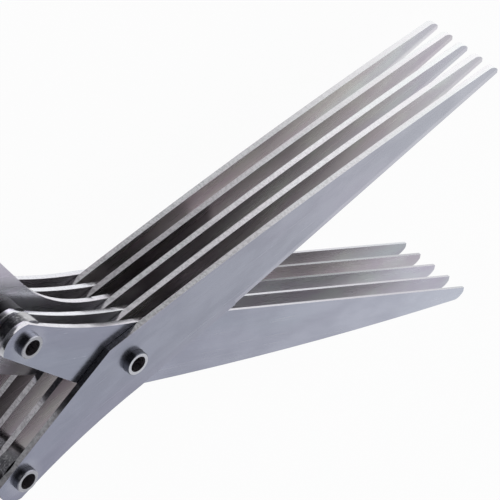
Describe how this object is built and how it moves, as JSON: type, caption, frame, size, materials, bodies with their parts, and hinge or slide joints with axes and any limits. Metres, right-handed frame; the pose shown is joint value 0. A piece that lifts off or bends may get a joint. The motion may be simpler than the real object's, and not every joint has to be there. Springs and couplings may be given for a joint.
{
  "type": "herb scissors",
  "caption": "Kitchen herb scissors with stacked pairs of thin steel blades on one hollow pivot rivet, tied behind it by ringed hollow rivets, and a moulded bow handle on each half.",
  "frame": {"origin": "on the pivot axis, at the middle of the stack of plates, between the two middle plates", "axes": "+Z along the pivot axis towards the upper plate of each pair, +X half way between the open blades towards their tips"},
  "size_m": [0.1772, 0.1212, 0.0216],
  "materials": {
    "blade_steel": "fine satin brushing, bright cut edges",
    "rivet_steel": "drawn tube with cut ends",
    "ring_steel": "turned",
    "handle_plastic": "matt moulded"
  },
  "bodies": {
    "lower_half": {"lower_blade_1": "blade_steel", "lower_blade_2": "blade_steel", "lower_blade_3": "blade_steel", "lower_blade_4": "blade_steel", "lower_blade_5": "blade_steel", "pivot_tube": "rivet_steel", "pivot_washer_1": "ring_steel", "pivot_washer_2": "ring_steel", "pivot_washer_3": "ring_steel", "pivot_washer_4": "ring_steel", "lower_tang_tube": "rivet_steel", "lower_spacer_1": "ring_steel", "lower_spacer_2": "ring_steel", "lower_spacer_3": "ring_steel", "lower_spacer_4": "ring_steel", "lower_handle": "handle_plastic"},
    "upper_half": {"upper_blade_1": "blade_steel", "upper_blade_2": "blade_steel", "upper_blade_3": "blade_steel", "upper_blade_4": "blade_steel", "upper_blade_5": "blade_steel", "upper_tang_tube": "rivet_steel", "upper_spacer_1": "ring_steel", "upper_spacer_2": "ring_steel", "upper_spacer_3": "ring_steel", "upper_spacer_4": "ring_steel", "upper_handle": "handle_plastic"}
  },
  "joints": [
    {"name": "pivot", "type": "hinge", "parent": "lower_half", "child": "upper_half", "pos_m": [0, 0, 0], "axis": [0, 0, 1], "range_deg": [-34.6, 100]}
  ]
}
